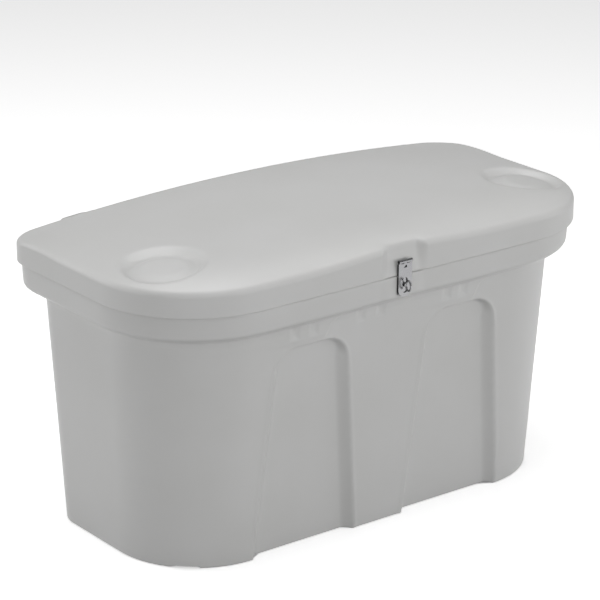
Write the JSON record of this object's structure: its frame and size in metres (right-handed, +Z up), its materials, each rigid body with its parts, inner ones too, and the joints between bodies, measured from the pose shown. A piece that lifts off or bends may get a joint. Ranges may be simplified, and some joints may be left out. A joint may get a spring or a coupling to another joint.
{
  "type": "lidded storage chest",
  "caption": "Free-standing moulded plastic storage chest with a full-length lid hinged along the back and a stainless swivel-eye hasp for a padlock at the front.",
  "frame": {"origin": "centre of the bounding box at the height of the floor that the tub stands on", "axes": "+X along the length, +Y from the hasp at the front towards the hinges at the back, +Z up"},
  "size_m": [1.016, 0.5458, 0.5667],
  "materials": {
    "polyethylene": "natural white rotationally moulded polyethylene, satin with a faint mould texture",
    "stainless": "polished stamped stainless steel",
    "seal": "closed-cell foam rubber strip"
  },
  "bodies": {
    "tub_body": {"eye_base_plate": "stainless", "hasp_plate_nut_1": "stainless", "hasp_plate_nut_2": "stainless", "hasp_plate_nut_3": "stainless", "hasp_plate_nut_4": "stainless", "hasp_plate_screw_1": "stainless", "hasp_plate_screw_2": "stainless", "hasp_plate_screw_3": "stainless", "hasp_plate_screw_4": "stainless", "hinge_left_pin": "stainless", "hinge_left_rim_leaf": "stainless", "hinge_left_rim_nut_1": "stainless", "hinge_left_rim_nut_2": "stainless", "hinge_left_rim_nut_3": "stainless", "hinge_left_rim_screw_1": "stainless", "hinge_left_rim_screw_2": "stainless", "hinge_left_rim_screw_3": "stainless", "hinge_right_pin": "stainless", "hinge_right_rim_leaf": "stainless", "hinge_right_rim_nut_1": "stainless", "hinge_right_rim_nut_2": "stainless", "hinge_right_rim_nut_3": "stainless", "hinge_right_rim_screw_1": "stainless", "hinge_right_rim_screw_2": "stainless", "hinge_right_rim_screw_3": "stainless", "rim_seal": "seal", "tub": "polyethylene"},
    "lid_body": {"hasp_leaf": "stainless", "hasp_leaf_nut_1": "stainless", "hasp_leaf_nut_2": "stainless", "hasp_leaf_screw_1": "stainless", "hasp_leaf_screw_2": "stainless", "hasp_pin": "stainless", "hinge_left_lid_leaf": "stainless", "hinge_left_lid_nut_1": "stainless", "hinge_left_lid_nut_2": "stainless", "hinge_left_lid_nut_3": "stainless", "hinge_left_lid_screw_1": "stainless", "hinge_left_lid_screw_2": "stainless", "hinge_left_lid_screw_3": "stainless", "hinge_right_lid_leaf": "stainless", "hinge_right_lid_nut_1": "stainless", "hinge_right_lid_nut_2": "stainless", "hinge_right_lid_nut_3": "stainless", "hinge_right_lid_screw_1": "stainless", "hinge_right_lid_screw_2": "stainless", "hinge_right_lid_screw_3": "stainless", "lid": "polyethylene"},
    "strap": {"hasp_strap": "stainless"},
    "eye": {"padlock_eye": "stainless", "eye_washer": "stainless"}
  },
  "joints": [
    {"name": "lid_hinge", "type": "hinge", "parent": "tub_body", "child": "lid_body", "pos_m": [0, 0.26905, 0.49165], "axis": [-1, 0, 0], "range_deg": [0, 105]},
    {"name": "hasp_hinge", "type": "hinge", "parent": "lid_body", "child": "strap", "pos_m": [0, -0.25465, 0.5177], "axis": [-1, 0, 0], "range_deg": [0, 175]},
    {"name": "eye_swivel", "type": "hinge", "parent": "tub_body", "child": "eye", "pos_m": [0, -0.26445, 0.4745], "axis": [0, -1, 0], "range_deg": [0, 90]}
  ]
}
